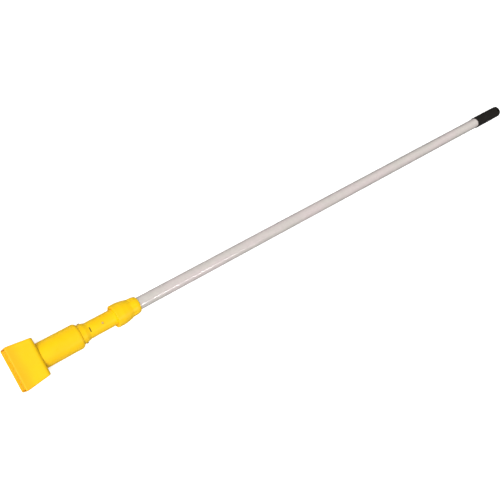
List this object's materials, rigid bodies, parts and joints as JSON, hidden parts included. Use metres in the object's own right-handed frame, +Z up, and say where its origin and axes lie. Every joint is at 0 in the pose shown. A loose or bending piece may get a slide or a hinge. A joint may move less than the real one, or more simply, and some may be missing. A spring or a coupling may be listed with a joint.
{
  "type": "string mop handle",
  "caption": "Long clamp-jaw handle for a wet string mop: a twist collar slides a wide sleeve back and two sprung jaws open to take a mop head.",
  "frame": {"origin": "middle of the length, on the surface that the clamp lies on, under the tube's axis", "axes": "+X along the tube from the clamp's mouth to the grip, +Y across the wide clamp, +Z up from the surface it lies on"},
  "size_m": [1.735, 0.1014, 0.066],
  "materials": {
    "yellow_plastic": "satin moulded nylon, bright yellow",
    "vinyl": "light grey vinyl film with a faint mottle",
    "tube_aluminium": "drawn aluminium, plain",
    "black_vinyl": "soft black vinyl, low sheen",
    "core_plastic": "dark grey glass-filled nylon",
    "rivet_brass": "plain brass rivet, dull",
    "jaw_plastic": "yellow nylon",
    "steel": "plain zinc-plated steel",
    "spring_steel": "black phosphated steel",
    "acetal": "white acetal",
    "hardwood": "plain turned dowel"
  },
  "bodies": {
    "handle": {"aluminium_tube": "tube_aluminium", "vinyl_cover": "vinyl", "tube_insert": "hardwood", "tube_end_plug": "acetal", "end_grip": "black_vinyl", "threaded_core": "core_plastic", "core_rivet": "rivet_brass", "upper_hinge_pin": "steel", "lower_hinge_pin": "steel", "pin_caps": "steel"},
    "sleeve": {"clamp_sleeve": "yellow_plastic", "side_screws": "spring_steel"},
    "collar": {"collar_nut": "yellow_plastic", "retaining_ring": "yellow_plastic", "thrust_washer": "acetal"},
    "upper_jaw": {"upper_jaw": "jaw_plastic", "upper_jaw_grip_strip": "jaw_plastic", "upper_jaw_spring": "spring_steel"},
    "lower_jaw": {"lower_jaw": "jaw_plastic", "lower_jaw_grip_strip": "jaw_plastic", "lower_jaw_spring": "spring_steel"}
  },
  "joints": [
    {"name": "sleeve_slide", "type": "slide", "parent": "handle", "child": "sleeve", "axis": [1, 0, 0], "range_m": [0, 0.036]},
    {"name": "collar_twist", "type": "hinge", "parent": "sleeve", "child": "collar", "pos_m": [-0.5975, 0, 0.033], "axis": [1, 0, 0], "range_deg": [0, 866]},
    {"name": "upper_jaw_hinge", "type": "hinge", "parent": "handle", "child": "upper_jaw", "pos_m": [-0.7975, 0, 0.039], "axis": [0, 1, 0], "range_deg": [0, 11.6]},
    {"name": "lower_jaw_hinge", "type": "hinge", "parent": "handle", "child": "lower_jaw", "pos_m": [-0.7975, 0, 0.027], "axis": [0, -1, 0], "range_deg": [0, 11.6]}
  ],
  "couplings": [
    {"joint": "collar_twist", "follows": "sleeve_slide", "rad_per_m": 418.88},
    {"joint": "upper_jaw_hinge", "follows": "sleeve_slide", "rad_per_m": 5.5754},
    {"joint": "lower_jaw_hinge", "follows": "sleeve_slide", "rad_per_m": 5.5754}
  ]
}
